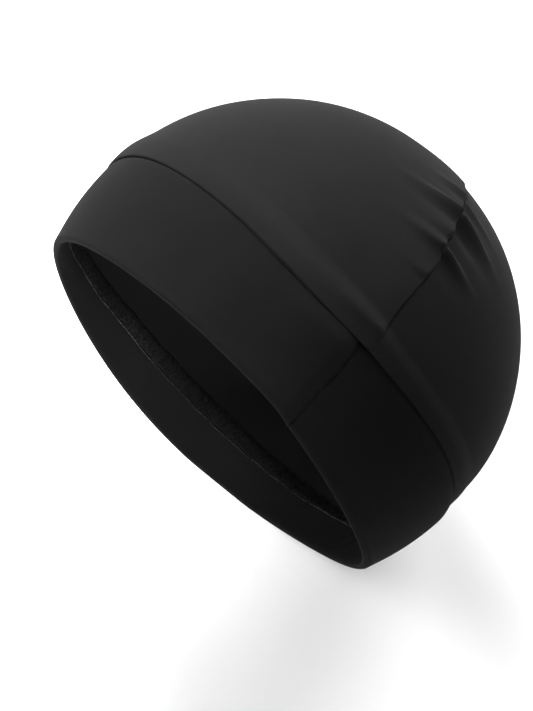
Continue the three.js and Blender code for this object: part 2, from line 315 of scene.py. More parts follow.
def lipRelief(angle, above):
    # a parabola that leaves the edge steeply and levels off, and an eased drop beyond the allowance inside
    here = {name: np.interp(aroundBack(angle), lip["angle"], lip[name]) for name in lipColumns[1:]}
    short = 1.0 - np.minimum(above / here["reach"], 1.0)
    swell = here["edge"] + (here["peak"] - here["edge"]) * (1.0 - short ** 2)
    share = np.clip((above - here["fallFrom"]) / (here["fallTo"] - here["fallFrom"]), 0.0, 1.0)
    fall = 1.0 - here["drop"] * share ** 2 * (3.0 - 2.0 * share)
    return swell * fall * (1.0 - smoothStep(above, *lipTail))


def knotRelief(away, above):  # the sum of a round bell for each pucker
    relief = np.zeros_like(away + above)
    for place, height, spread, lift in lipKnots:
        relief = relief + lift * bell(np.hypot(away - place, above - height), spread)
    return relief


# Each gather: side of the seam, degrees along it, reach from it, height of its crest, sink of its far end,
# widths above and below the crest, depth, place and width of the valley below it, and a knuckle at the seam
gatherColumns = ("side", "along", "reach", "lift", "sink", "upper", "lower", "valley", "below", "width",
                 "knuckle")
gathers = [dict(zip(gatherColumns, row)) for row in [
    (-1, 31.2, 14.0, 1.75, 0.0, 4.6, 2.5, 0.2, 6.0, 3.0, 0.5),
    (-1, 36.8, 12.0, 1.3, 0.0, 6.2, 4.4, 0.0, 5.0, 3.0, 0.0),
    (-1, 45.0, 17.0, 2.8, 0.0, 4.2, 3.1, 0.6, 6.6, 2.4, 0.3),
    (-1, 56.0, 12.0, 1.1, 1.0, 3.6, 3.4, 0.5, 5.5, 2.8, 0.0),
    (-1, 22.2, 7.0, 0.6, 0.6, 4.4, 1.6, 0.2, 3.0, 2.2, 0.0),
    (1, 31.4, 11.5, 2.3, 0.9, 2.9, 2.6, 0.8, 6.8, 3.4, 0.0),
    (1, 45.2, 14.0, 2.6, 1.6, 3.4, 3.2, 1.8, 7.2, 3.8, 0.0),
    (1, 53.4, 12.0, 1.0, 2.0, 3.4, 2.8, 0.4, 4.4, 2.6, 0.0),
]]
gatherArc = math.radians(1.0) * capForm["crownHalfBreadth"]  # millimetres for one degree along the seam
gatherShape = {
    "foot": (-0.1, 1.1),  # shares of the upper width where the crest starts to fall and has fallen
    "start": (-0.4, 1.5),  # it rises out of the seam between these distances
    "knuckle": (1.2, 2.2, 1.6),  # distance from the seam, spread away from it and spread along it
}


def gatherRelief(away, along):
    # each gather rises from a valley to its crest, falls above it to a soft foot, and runs out sideways
    relief = np.zeros_like(away)
    for gather in gathers:
        outwards = away * gather["side"]
        reached = np.maximum(outwards, 0.0) / gather["reach"]
        place = (along - gather["along"]) * gatherArc + gather["sink"] * reached
        footFrom, footTo = (share * gather["upper"] for share in gatherShape["foot"])
        foot = 1.0 - smoothStep(place, footFrom, footTo)
        crest = gather["lift"] * foot * bell(np.minimum(place, 0.0), gather["lower"])
        valley = gather["valley"] * bell(place + gather["below"], gather["width"])
        distance, sideSpread, alongSpread = gatherShape["knuckle"]
        knuckle = gather["knuckle"] * bell(place, alongSpread) * bell(outwards - distance, sideSpread)
        start = smoothStep(outwards, *gatherShape["start"])
        relief = relief + start * ((crest - valley) * bell(reached, 1.0) + knuckle)
    return relief


def crownRelief(angle, rise):  # how far the lip, the back seam and the gathers stand out, in millimetres
    above = capForm["crownHeight"] * np.sin(rise)
    along = np.degrees(np.arctan2(np.sin(rise), np.cos(rise) * np.cos(angle)))
    away = capForm["crownHalfBreadth"] * np.cos(rise) * np.sin(angle)
    behind = np.cos(angle) > 0.0
    # the step runs out over the top, and is lost in the puckers where it meets the joining seam
    running = 1.0 - smoothStep(along, backSeam["fadeFrom"], backSeam["fadeTo"])
    running = running * smoothStep(above, *backSeam["lostBelow"])
    step = seamStep(away, backSeam["stepHeight"], backSeam["stepWidth"])
    groove = backSeam["groove"] * bell(away - backSeam["grooveWidth"], backSeam["grooveWidth"])
    corner = softCorner(away) * (1.0 - smoothStep(along, *backSeam["ridgeFade"]))
    seam = running * (step - groove) + corner + gatherRelief(away, along)
    seam = seam + behind * knotRelief(away, above)
    slack = sideSlack["depth"] * bell(aroundBack(angle) - sideSlack["place"], sideSlack["spread"])
    slack = slack * bell(above, sideSlack["height"])
    top = topSlack["depth"] * bell(along - topSlack["place"], topSlack["reach"])
    top = top * bell(away, topSlack["spread"])
    fuller = fullness["rise"] * smoothStep(above, fullness["from"], fullness["to"])
    return lipRelief(angle, above) + fuller + seam - slack - top


def crownForm(angle, rise, offset):  # a quarter ellipse from the joining seam to the top, moved outwards
    riseDegrees = np.degrees(rise)
    straight = smoothStep(riseDegrees, 0.0, capForm["crownSeamStraightFrom"])
    start = math.radians(capForm["crownSeamStart"]) * (1.0 - straight)
    away = capForm["crownHalfBreadth"] * np.cos(rise) * np.sin(angle)
    jog = np.zeros_like(away)
    for place, side, spread in backSeam["jogs"]:
        jog = jog + side * bell(riseDegrees - place, spread)
    local = bell(away, backSeam["jogReach"]) * (np.cos(angle) > 0.0)
    narrowing = np.maximum(np.cos(rise), 0.05)  # the floor keeps the shift finite at the top
    turned = angle + start + jog * local / (capForm["crownHalfBreadth"] * narrowing)
    halfBreadth = (capForm["crownHalfBreadth"] + offset) * np.cos(rise)
    height = capForm["bandHeight"] + (capForm["crownHeight"] + offset) * np.sin(rise)
    height = height - lipHang(angle, capForm["crownHeight"] * np.sin(rise))
    wave = waveHeight(capForm["joinWaves"], turned) * (1.0 - np.sin(rise))
    return ovalPoints(turned, halfBreadth, height + wave)


def crownPoints(angle, rise, inset):  # each layer lies its inset below the outer face with its relief
    relief = crownRelief(angle, np.maximum(rise, math.asin(lipRadius / capForm["crownHeight"])))
    return pressed(crownForm(angle, rise, relief - inset), crownForm(angle, rise, relief))


crownGrid = {
    "columns": (1.5, 36.0, 62, 1.6),  # degrees for each, crowded degrees, columns in these, and crowding
    "lipRows": (14.0, 34),  # up to this height over the seam, and how many rows
    "innerLipRows": (1.2, 14.0, 10),
    "outerRows": [(9.2, 28.0, 34), (28.0, 64.0, 110), (64.0, 82.5, 22)],  # from and to in degrees, and rows
    "innerRows": (9.2, 82.5, 44),
    "poleRows": [84.0, 86.2, 87.8, 88.8, 89.4, 89.75],
    "edgeRows": 12,
}


def crownRows():
    # rise angles and insets: from the inner pole down inside, round the lower edge and up the outer face
    radius = lipRadius
    high = capForm["crownHeight"]
    lipTop, lipCount = crownGrid["lipRows"]
    outer = [np.degrees(np.arcsin(np.linspace(radius, lipTop, lipCount) / high))]
    outer += [np.linspace(*rows)[1:] for rows in crownGrid["outerRows"]]
    outer = np.concatenate(outer + [crownGrid["poleRows"]])
    inner = np.concatenate([
        np.degrees(np.arcsin(np.linspace(*crownGrid["innerLipRows"]) / high)),
        np.linspace(*crownGrid["innerRows"])[1:],
        crownGrid["poleRows"],
    ])[::-1]
    turn = np.linspace(0.0, math.pi, crownGrid["edgeRows"])[1:-1]
    edgeRise = np.degrees(np.arcsin(radius * (1.0 - np.sin(turn)) / high))
    edgeInset = radius * (1.0 + np.cos(turn))
    rise = np.concatenate([inner, edgeRise, outer])
    inset = np.concatenate([np.full(len(inner), capForm["clothThickness"]), edgeInset, np.zeros(len(outer))])
    return np.radians(rise), inset


def addCrown(material):  # the rows carried round the cap, closed by a fan at each of the two poles
    angles = columnAngles(*crownGrid["columns"])
    rise, inset = crownRows()
    rows, columns = len(rise), len(angles)
    grid = crownPoints(angles[None, :], rise[:, None], inset[:, None])
    poles = crownPoints(np.zeros(2), np.full(2, math.pi / 2), np.array([capForm["clothThickness"], 0.0]))
    points = layDown(np.concatenate([grid.reshape(-1, 3), poles]))
    faces, places = gridFaces(rows, columns, False)
    innerPole, outerPole = rows * columns, rows * columns + 1
    column = np.arange(columns)
    after = (column + 1) % columns
    lastRow = (rows - 1) * columns
    innerFan = stacked(innerPole, after, column)
    outerFan = stacked(lastRow + column, lastRow + after, outerPole)
    # the knit pattern lies flat on the top of the crown and spreads evenly to its edge
    across = (math.pi / 2 - rise) * capForm["crownHalfBreadth"] * mm
    closed = np.append(angles, angles[0] + fullTurn)
    pattern = stacked(across[:, None] * np.cos(closed), across[:, None] * np.sin(closed))
    flat = pattern.reshape(-1, 2)
    first, last = pattern[0], pattern[-1]
    middle = np.zeros((columns, 2))
    innerUv = np.stack([middle, first[1:], first[:-1]], axis=1)
    outerUv = np.stack([last[:-1], last[1:], middle], axis=1)
    piece = makePiece("crown_cloth", points, [faces, innerFan, outerFan], [flat[places], innerUv, outerUv],
                      material)
    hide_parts("crown")


# The head band

bandSizes = {
    "topRadius": 0.75,  # rounded upper edge, turned into the joining seam
    "foldRadius": 1.5,
    "layerGap": 0.6,
    "hemHeight": 13.8,
    # the hem's edge runs askew: degrees from the back towards the right, rise above its mean height
    "hemRise": [(0, 1.2), (30, 3.6), (60, 6.0), (88, 8.0), (107, 8.1), (118, 6.4), (128, 5.2), (138, 2.4),
                (146, 1.3), (160, 1.75), (175, 1.75), (190, 1.45), (200, 1.2), (212, 0.0), (223, -1.0),
                (234, -2.8), (270, -3.8), (300, -2.9), (330, -0.9), (360, 1.2)],
    "hemEase": (6.0, 7),  # degrees to each side over which its rows are eased, and at how many places
    "hemFollow": 4.0,  # the wall inside is plain again this far below the joining seam
    "rimFlare": 0.2,  # the hem's double cloth stands out a little above the fold
    "rimFlareHeight": 6.0,
    "jointStep": (0.7, 0.5),  # crisp part of the joint's step: height and width
    "jointRoll": (2.1, 0.2, 6.4),  # soft part, where the left end rolls into the joint: height, from and to
    "jointFall": (6.0, 36.0),
    "jointDip": (0.6, 0.5, 8.0),  # share by which it is lower under the lip, and depths below the seam
    "jointGroove": (0.75, 0.5, 0.4),  # depth, distance and spread
    "notch": (0.7, 1.1, 1.4, 1.5, 2.2),  # depth, place and spread aside, place and spread below the seam
    "topRoll": (2.0, 1.2, 1.1, 5.0),  # the upper edge turns in: how far and over what height, left and right
    "rightPart": (0.0, 7.0, 130.0, 165.0),  # degrees between which the right values begin and end
    "corner": (0.8, 2.2),  # the left end's top corner is rounded off: how far, and spread below the seam
    "topSink": 0.25,  # the rounded upper edge ends this far below the joining seam
    "turnedIn": 0.9,  # and stays thick for this far down inside
    "thinFrom": 3.4,  # the wall has its plain thickness from here down
    "edgeRound": 0.2,  # bevel of the hem's raw edge
    "columns": (1.0, 30.0, 50, 1.5),
    "rows": {"outer": 52, "top": 12, "inner": 24, "short": 3, "hem": 20, "fold": 14},
}
hemInset = capForm["clothThickness"] + bandSizes["layerGap"]
hemInner = hemInset + capForm["clothThickness"]


def bandRelief(angle, height):
    # step, roll, groove and notch of the strip's joint, turned-in upper edge, fuller hem and soft corner
    ahead = np.cos(angle) > 0.0
    away = np.where(ahead, capForm["rimHalfBreadth"] * np.sin(angle), capForm["rimHalfBreadth"])
    below = capForm["bandHeight"] - height
    corner, cornerSpread = bandSizes["corner"]
    rounded = corner * bell(below, cornerSpread)
    edge = -away - rounded
    stepHeight, stepWidth = bandSizes["jointStep"]
    step = stepHeight * smoothStep(edge, 0.0, stepWidth)
    rollHeight, rollFrom, rollTo = bandSizes["jointRoll"]
    roll = rollHeight * smoothStep(edge, rollFrom, rollTo)
    dip, dipFrom, dipTo = bandSizes["jointDip"]
    fall = 1.0 - smoothStep(-away, *bandSizes["jointFall"])
    fall = fall * (1.0 - dip * (1.0 - smoothStep(below, dipFrom, dipTo)))
    depth, place, spread, belowPlace, belowSpread = bandSizes["notch"]
    notch = depth * bell(away - place + rounded, spread) * bell(below - belowPlace, belowSpread)
    grooveDepth, grooveAway, grooveSpread = bandSizes["jointGroove"]
    groove = grooveDepth * bell(away + rounded - grooveAway, grooveSpread)
    flare = bandSizes["rimFlare"] * (1.0 - smoothStep(height, 0.0, bandSizes["rimFlareHeight"]))
    leftRoll, leftReach, rightRoll, rightReach = bandSizes["topRoll"]
    turned = aroundBack(angle)
    beginsAt, begun, endsAt, ended = bandSizes["rightPart"]
    right = smoothStep(turned, beginsAt, begun) * (1.0 - smoothStep(turned, endsAt, ended))
    reach = (leftReach + lipHang(angle, 0.0)) * (1.0 - right) + rightReach * right
    topRoll = (leftRoll + (rightRoll - leftRoll) * right) * (1.0 - np.clip(below / reach, 0.0, 1.0)) ** 2
    return (step + roll) * fall - groove - notch - topRoll + flare + softCorner(away)


def hemRise(angle):  # height of the hem's edge above its mean: the mean of the table at places on both sides
    turned, rise = np.array(bandSizes["hemRise"]).T
    span, places = bandSizes["hemEase"]
    around = [np.mod(np.degrees(angle) + aside, 360.0) for aside in np.linspace(-span, span, places)]
    return np.mean([np.interp(place, turned, rise) for place in around], axis=0)


hemRipple = {  # the stitching pulls the hem into tiny waves
    "height": 0.11,
    "waves": (97.0, 61.0),
    "drift": (1.1, 5.0),  # how far the first waves stray, and how often round the cap
    "secondShare": 0.6,
    "secondStart": 2.0,
    "from": 4.0,  # height where they begin; they are full at the hem's edge
}


def hemPucker(angle, height):  # two sine waves round the cap, one of them drifting, growing with height
    first, second = hemRipple["waves"]
    drift, driftWaves = hemRipple["drift"]
    ripple = np.sin(first * angle + drift * np.sin(driftWaves * angle))
    ripple = ripple + hemRipple["secondShare"] * np.sin(second * angle + hemRipple["secondStart"])
    return hemRipple["height"] * ripple * smoothStep(height, hemRipple["from"], bandSizes["hemHeight"])


def bandPoints(angle, height, inset, hemShare=0.0):  # as crownPoints, with a share of the hem's waves
    relief = bandRelief(angle, np.maximum(height, 0.0)) + hemShare * hemPucker(angle, height)
    outer = bandForm(angle, np.maximum(height, 0.0), relief)
    return pressed(bandForm(angle, height, relief - inset), outer)


def bandSection():
    # the strip's closed section: straight rows, a half circle at the top and a half ellipse at the fold
    thick = capForm["clothThickness"]
    radius = bandSizes["topRadius"]
    fold = bandSizes["foldRadius"]
    hem = bandSizes["hemHeight"]
    bevel = bandSizes["edgeRound"]
    topRow = capForm["bandHeight"] - bandSizes["topSink"] - radius
    rows = bandSizes["rows"]
    turn = np.linspace(0.0, math.pi, rows["top"])[1:-1]
    foldTurn = np.linspace(0.0, math.pi, rows["fold"])[1:-1]
    edgeInset = np.array([hemInset, hemInset + bevel, hemInner - bevel, hemInner])
    edgeHeight = np.array([hem - bevel, hem, hem, hem - bevel])
    parts = [  # insets, heights and share of the hem's waves
        (0.0, np.linspace(fold, topRow, rows["outer"]), 0.0),  # up the outer face
        (radius * (1.0 - np.cos(turn)), topRow + radius * np.sin(turn), 0.0),  # over the rounded top
        (2.0 * radius, topRow - np.linspace(0.0, bandSizes["turnedIn"], rows["short"]), 0.0),
        (thick, np.linspace(topRow - bandSizes["thinFrom"], hem + 0.5, rows["inner"]), 0.0),
        (thick, np.linspace(hem - 1.0, fold, rows["short"]), 0.0),  # down the slot between the layers
        (hemInset, np.linspace(fold, hem - 1.0, rows["short"]), 1.0),  # and up its other side
        (edgeInset, edgeHeight, 1.0),  # over the hem's raw edge
        (hemInner, np.linspace(hem - 0.9, fold, rows["hem"]), 1.0),  # down the hem
        (hemInner * (1.0 + np.cos(foldTurn)) / 2.0, fold * (1.0 - np.sin(foldTurn)), 0.5),  # round the fold
    ]
    inset = np.concatenate([np.broadcast_to(inset, height.shape) for inset, height, share in parts])
    hemShare = np.concatenate([np.full(height.shape, share) for inset, height, share in parts])
    return inset, np.concatenate([part[1] for part in parts]), hemShare


def hemFollow(height):  # share by which the inner rows follow the askew hem, full at its edge
    hem = bandSizes["hemHeight"]
    rising = np.clip(height / hem, 0.0, 1.0)
    falling = 1.0 - smoothStep(height, hem, capForm["bandHeight"] - bandSizes["hemFollow"])
    return np.where(height <= hem, rising, falling)


def addBand(material):  # the section carried round the cap, its inner rows following the askew hem
    angles = columnAngles(*bandSizes["columns"])
    inset, height, hemShare = bandSection()
    inside = inset[:, None] > 0.0
    stretched = height[:, None] + inside * hemRise(angles)[None, :] * hemFollow(height)[:, None]
    grid = bandPoints(angles[None, :], stretched, inset[:, None], hemShare[:, None])
    faces, places = gridFaces(len(inset), len(angles), True)
    run = np.concatenate([[0.0], np.cumsum(np.hypot(np.diff(inset), np.diff(height)))])
    run = np.append(run, run[-1] + math.hypot(inset[0] - inset[-1], height[0] - height[-1]))
    closed = np.append(angles, angles[0] + fullTurn)
    around = closed * capForm["crownHalfBreadth"]
    pattern = stacked(around[None, :], run[:, None]) * mm
    piece = makePiece("band_cloth", layDown(grid.reshape(-1, 3)), [faces], [pattern.reshape(-1, 2)[places]],
                      material)
    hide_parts("band")


# Strips of cloth swept along a seam: a rounded flat section carried along a line on the cap

section = {"squareAcross": 0.4, "squareDepth": 0.7, "thinnerAtEdge": 0.5}  # powers of the superellipse


def roundedSection(edge):
    # superellipse: across from 0 to width, depth from 0 to thickness, which is thinner at the far side
    width, thickness = edge["width"], edge["thickness"]
    turn = np.linspace(0.0, fullTurn, edge["corners"], endpoint=False)
    cosine, sine = np.cos(turn), np.sin(turn)
    across = 0.5 * width * (1.0 + np.sign(cosine) * np.abs(cosine) ** section["squareAcross"])
    depth = 0.5 * thickness * (1.0 - np.sign(sine) * np.abs(sine) ** section["squareDepth"])
    return across, depth * (1.0 - section["thinnerAtEdge"] * across / width)


def addStrip(name, place, along, across, depth, ring, material):
    # place(along, across, depth) gives the point; the section is closed, and an open strip has closed ends
    grid = place(along[None, :], across[:, None], depth[:, None])
    rows, columns = len(across), len(along)
    faces, places = gridFaces(rows, columns, True, ring)
    centre = grid.mean(0)
    run = np.concatenate([[0.0], np.cumsum(np.linalg.norm(np.diff(centre, axis=0), axis=-1))])
    if ring:
        run = np.append(run, run[-1] + np.linalg.norm(centre[0] - centre[-1]))
    girth = np.concatenate([[0.0], np.cumsum(np.hypot(np.diff(across), np.diff(depth)))])
    girth = np.append(girth, girth[-1] + math.hypot(across[0] - across[-1], depth[0] - depth[-1]))
    pattern = stacked(run[None, :], girth[:, None]).reshape(-1, 2) * mm
    faceSets, uvSets = [faces], [pattern[places]]
    if not ring:
        row = np.arange(rows)
        starts, ends = row * columns, row[::-1] * columns + columns - 1
        flat = stacked(across, depth) * mm
        faceSets += [starts[None, :], ends[None, :]]
        uvSets += [flat[None], flat[::-1][None]]
    return makePiece(name, layDown(grid.reshape(-1, 3)), faceSets, uvSets, material)


# Threads: round tubes that follow a line of points on the cloth

def alongLine(points, closed):  # direction of each line at each of its points: the next one minus the last
    if closed:
        ahead = np.roll(points, -1, axis=1) - np.roll(points, 1, axis=1)
    else:
        ahead = np.gradient(points, axis=1)
    return ahead / np.linalg.norm(ahead, axis=-1, keepdims=True)


def addThreads(name, centres, lifts, radius, sides, closed, material):
    # centres and lifts are (threads, rings, 3): circles across each line, closed as a ring or at both ends
    threads, rings = centres.shape[:2]
    ahead = alongLine(centres, closed)
    out = lifts - ahead * (lifts * ahead).sum(-1, keepdims=True)
    out /= np.linalg.norm(out, axis=-1, keepdims=True)
    side = np.cross(ahead, out)
    turn = np.linspace(0.0, fullTurn, sides, endpoint=False)[:, None]
    circle = np.cos(turn) * out[..., None, :] + np.sin(turn) * side[..., None, :]
    radii = np.broadcast_to(radius, (threads, rings))
    points = centres[..., None, :] + radii[..., None, None] * circle
    faces, places = gridFaces(rings, sides, closed)
    base = np.arange(threads)[:, None, None]
    allFaces = (faces[None] + base * rings * sides).reshape(-1, 4)
    step = np.linalg.norm(np.diff(centres[0], axis=0), axis=-1).mean()
    run = np.arange(rings + 1) * step
    girth = np.arange(sides + 1) * fullTurn * radii.mean() / sides
    pattern = stacked(run[:, None], girth[None, :]).reshape(-1, 2) * mm
    allUv = np.broadcast_to(pattern[places], (threads, *places.shape, 2)).reshape(-1, 4, 2)
    faceSets, uvSets = [allFaces], [allUv]
    if not closed:
        row = np.arange(sides)
        starts = base[:, 0] * rings * sides + row[None, ::-1]
        ends = base[:, 0] * rings * sides + (rings - 1) * sides + row[None, :]
        faceSets += [starts, ends]
        uvSets += [np.zeros((threads, sides, 2))] * 2
    makePiece(name, layDown(points.reshape(-1, 3)), faceSets, uvSets, material)


# Overlocking: five looper threads that swing over the cloth's raw edge

overlock = {
    "pitch": 2.1,  # millimetres from stitch to stitch
    "threadRadius": 0.19,
    "swing": 0.5,  # how far a loop leans along the seam, as a share of the pitch
    "stray": 0.5,  # and how unevenly, in stitches
    "ringsEachStitch": 16,
    "sides": 4,
    "unevenness": 0.11,  # of how far each loop reaches
    # each looper: lean, place of its first stitch, and its stitches as a share of the others'
    "loopers": [(1.0, 0.0, 1.0), (-1.0, 0.5, 0.86), (0.5, 0.27, 1.12), (-0.7, 0.8, 1.25), (1.5, 0.1, 0.72)],
    "weave": 0.08,  # the loopers pass over and under each other
    "sway": (0.2, 0.5),  # depth, and the share of it by which the loops stray from the cloth
    "aboveCloth": 0.1,
    "overEdge": 0.2,  # how far they stand past the raw edge
    "liftReach": 0.5,  # a second point this much higher tells which way is up from the cloth
}


def uneven(stitches, amount):  # a random share for each stitch, eased from one to the next
    count = overlock["ringsEachStitch"]
    values = 1.0 + amount * random.uniform(-1.0, 1.0, stitches + 1)
    values[-1] = values[0]
    return np.interp(np.arange(stitches * count) / count, np.arange(stitches + 1), values)


def addLoopers(name, place, ends, stitches, edge, material):
    # each looper is a leaning cosine wave between the needle line and the raw edge, where it dips round it;
    # their pitches differ a little, so that no two stitches look the same
    nearSide, farSide = edge["near"], edge["width"] + overlock["overEdge"]
    faceDepth = edge["inset"] + edge["thickness"] + overlock["aboveCloth"]
    edgeDepth = edge["inset"] + edge["edgeDepth"]
    count = stitches * overlock["ringsEachStitch"]
    lines, lifts = [], []
    for lean, start, share in overlock["loopers"]:
        waves = int(stitches * share)
        phase = waves * np.arange(count) / (count if edge["ring"] else count - 1)
        turned = fullTurn * (phase + start)
        swing = 0.5 - 0.5 * np.cos(turned)
        leaned = phase + lean * overlock["swing"] * np.sin(turned)
        leaned = leaned + overlock["stray"] * (uneven(stitches, 1.0) - 1.0)
        along = ends[0] + (ends[1] - ends[0]) * leaned / waves
        across = nearSide + (farSide - nearSide) * swing * uneven(stitches, overlock["unevenness"])
        dip = swing ** 2 * (edgeDepth - faceDepth)
        weave = overlock["weave"] * lean * np.cos(2.0 * fullTurn * phase)
        swayDepth, swayShare = overlock["sway"]
        depth = faceDepth + dip + weave + swayDepth * (uneven(stitches, swayShare) - 1.0)
        lines.append(place(along, across, depth))
        lifts.append(place(along, across, depth + overlock["liftReach"]) - lines[-1])
    addThreads(name, np.stack(lines), np.stack(lifts), overlock["threadRadius"], overlock["sides"],
               edge["ring"], material)


def addEdge(names, place, ends, stitches, edge, cloth, thread):
    # the strip of cloth, named first, is returned, and the loopers over it follow the same line
    along = np.linspace(*ends, edge["stations"], endpoint=not edge["ring"])
    across, depth = roundedSection(edge)
    strip = addStrip(names[0], place, along, across, edge["inset"] + depth, edge["ring"], cloth)
    addLoopers(names[1], place, ends, stitches, edge, thread)
    return strip


needleRow = {  # the row of needle stitches beside the hem's raw edge, lighter than the cloth: partly the thread's own colour, partly a painted highlight
    "length": 0.96,  # share of the pitch
    "radius": 0.18,
    "rings": 7,
    "sides": 6,
    "thinning": 0.93,  # at 1 each stitch would end in a point
    "sinking": 0.25,
    "drift": [(0.16, 0.31, 0.0), (0.1, 0.83, 1.0)],  # two waves: width, turn each stitch, start
    "jitter": 0.07,
}


def addNeedleRow(name, place, ends, stitches, across, depth, material):
    # plump stitches in a row, each a short tube whose radius is a half ellipse, sunk at its ends
    share = np.linspace(-0.5, 0.5, needleRow["rings"])
    plump = np.sqrt(1.0 - (2.0 * share) ** 2 * needleRow["thinning"])
    middle = np.arange(stitches)[:, None] + 0.5
    along = middle + share * needleRow["length"]
    along = ends[0] + (ends[1] - ends[0]) * along / stitches
    drift = sum(width * np.sin(turn * middle + start) for width, turn, start in needleRow["drift"])
    drift = drift + needleRow["jitter"] * random.uniform(-1.0, 1.0, (stitches, 1))
    sunk = depth - needleRow["sinking"] * (1.0 - plump)
    lines = place(along, across + drift, sunk)
    lifts = place(along, across + drift, sunk + overlock["liftReach"]) - lines
    addThreads(name, lines, lifts, needleRow["radius"] * plump[None, :], needleRow["sides"], False, material)


# The hem's overlocked raw edge, inside the band

wholeTurn = (0.0, fullTurn)
ringStitches = int(fullTurn * capForm["crownHalfBreadth"] / overlock["pitch"])
hemEdge = {
    "width": 5.8,
    "thickness": 1.3,
    "inset": 1.25,
    "corners": 20,
    "stations": 540,
    "ring": True,
    "near": 0.1,  # the loops begin this far across the strip
    "edgeDepth": 0.25,  # and go round its raw edge at this depth over the inset
}
needlePlace = (-0.6, 0.18)  # height above the hem's edge, and depth over the hem


def onHem(angle, across, depth):  # across is the height above the hem's edge, depth the inset
    height = bandSizes["hemHeight"] + hemRise(angle) + across
    return bandPoints(angle, height, depth)


def addHemEdge(cloth, thread, paintedHighlightThread):
    names = ("hem_edge_cloth", "hem_overlock_threads")
    strip = addEdge(names, onHem, wholeTurn, ringStitches, hemEdge, cloth, thread)
    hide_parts("hem_overlock")
    above, depth = needlePlace
    addNeedleRow("hem_needle_stitches", onHem, wholeTurn, ringStitches, above, hemInner + depth, paintedHighlightThread)


# The overlocked allowance of the joining seam, turned up inside the crown

joinEdge = {
    **hemEdge,
    "from": 1.6,  # height of its lower side over the joining seam
    "width": 6.6,
    "thickness": 2.0,
    "inset": 1.4,
    "near": 1.6,
    "edgeDepth": 0.4,
}


def onJoin(angle, across, depth):  # across is the height above the strip's lower side
    return crownPoints(angle, np.arcsin((joinEdge["from"] + across) / capForm["crownHeight"]), depth)


def addJoinEdge(cloth, thread):
    names = ("joining_allowance_cloth", "joining_overlock_threads")
    strip = addEdge(names, onJoin, wholeTurn, ringStitches, joinEdge, cloth, thread)
    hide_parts("joining_seam_allowance")


# The overlocked allowances of the two seams up the back, both on the left of their seam

crownEdge = {
    "from": 6.6,  # degrees over the top
    "to": 100.0,
    "besideSeam": 0.5,
    "width": 6.0,
    "thickness": 1.0,
    "inset": 1.35,
    "corners": 16,
    "stations": 240,
    "ring": False,
    "near": 1.2,
    "edgeDepth": 0.3,
}
bandJointEdge = {
    **crownEdge,
    "width": bandJoint["width"] - bandJoint["edge"],
    "inset": bandJoint["inset"],
    "stations": 40,
}


def onCrownSeam(along, across, depth):
    # along is in degrees over the top; the point left of the seam is turned into its angle and its rise
    aside = crownEdge["besideSeam"] + across
    behind = np.cos(np.radians(along)) * capForm["crownHalfBreadth"]
    angle = np.arctan2(-aside, behind)
    outwards = np.hypot(aside, behind) / capForm["crownHalfBreadth"]
    return crownPoints(angle, np.arccos(np.minimum(outwards, 1.0)), depth)


def onBandJoint(height, across, depth):  # across is the distance left of the joint
    angle = -(bandJoint["edge"] + across) / capForm["crownHalfBreadth"]
    return bandPoints(angle, height, depth)


def addBackEdges(cloth, thread):
    ends = (crownEdge["from"], crownEdge["to"])
    stitches = int((ends[1] - ends[0]) * gatherArc / overlock["pitch"])
    names = ("crown_allowance_cloth", "crown_overlock_threads")
    strip = addEdge(names, onCrownSeam, ends, stitches, crownEdge, cloth, thread)
    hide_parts("crown_seam_allowance")
    ends = bandJoint["heights"]
    stitches = int((ends[1] - ends[0]) / overlock["pitch"])
    names = ("band_joint_cloth", "band_joint_threads")
    strip = addEdge(names, onBandJoint, ends, stitches, bandJointEdge, cloth, thread)
    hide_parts("band_joint_allowance")


# Materials

knit = {
    "wale": 0.62,  # millimetres from one column of stitches to the next
    "course": 0.48,  # millimetres from one row of stitches to the next
    "slant": 1.6,  # rows by which a stitch's two strands slant
    "strandShare": 0.6,  # of the height that the strands take from each other's gaps
    "bump": 0.025,
    "fuzz": 0.35,
    "fuzzHeight": 0.12,
    "wander": 0.18,  # millimetres by which the rows of stitches stray
    "wanderScale": 260.0,
    "mottleScale": 38.0,
    "speckScale": 900.0,
    "shares": (0.35, 0.5, 0.15),  # of mottle, specks and stitches in the colour; the stitches' share is painted shade, darker in the gaps between strands
    "shades": (0.2, 0.8),  # mixed values that give the darkest and the lightest
    "darkest": 0.72,
    "lightest": 1.28,
    "roughness": 0.85,
    "specular": 0.023,
    "sheenRoughness": 0.45,
    "sheenTint": (0.9, 0.9, 0.95, 1.0),
}


class NodeBoard:  # adds shader nodes and joins them in one go
    def __init__(self, name):
        self.material = bpy.data.materials.new(name)
        self.material.use_nodes = True
        self.tree = self.material.node_tree
        self.shader = self.tree.nodes["Principled BSDF"]

    def add(self, kind, inputs=None, **settings):
        node = self.tree.nodes.new(kind)
        for key, value in settings.items():
            setattr(node, key, value)
        for key, value in (inputs or {}).items():
            self.feed(node.inputs[key], value)
        return node

    def feed(self, socket, value):
        if isinstance(value, bpy.types.NodeSocket):
            self.tree.links.new(value, socket)
        else:
            socket.default_value = value

    def surface(self, inputs):  # values and links of the shader that gives the surface
        for key, value in inputs.items():
            self.feed(self.shader.inputs[key], value)

    def math(self, operation, *values):
        node = self.add("ShaderNodeMath", operation=operation)
        for socket, value in zip(node.inputs, values):
            self.feed(socket, value)
        return node.outputs[0]


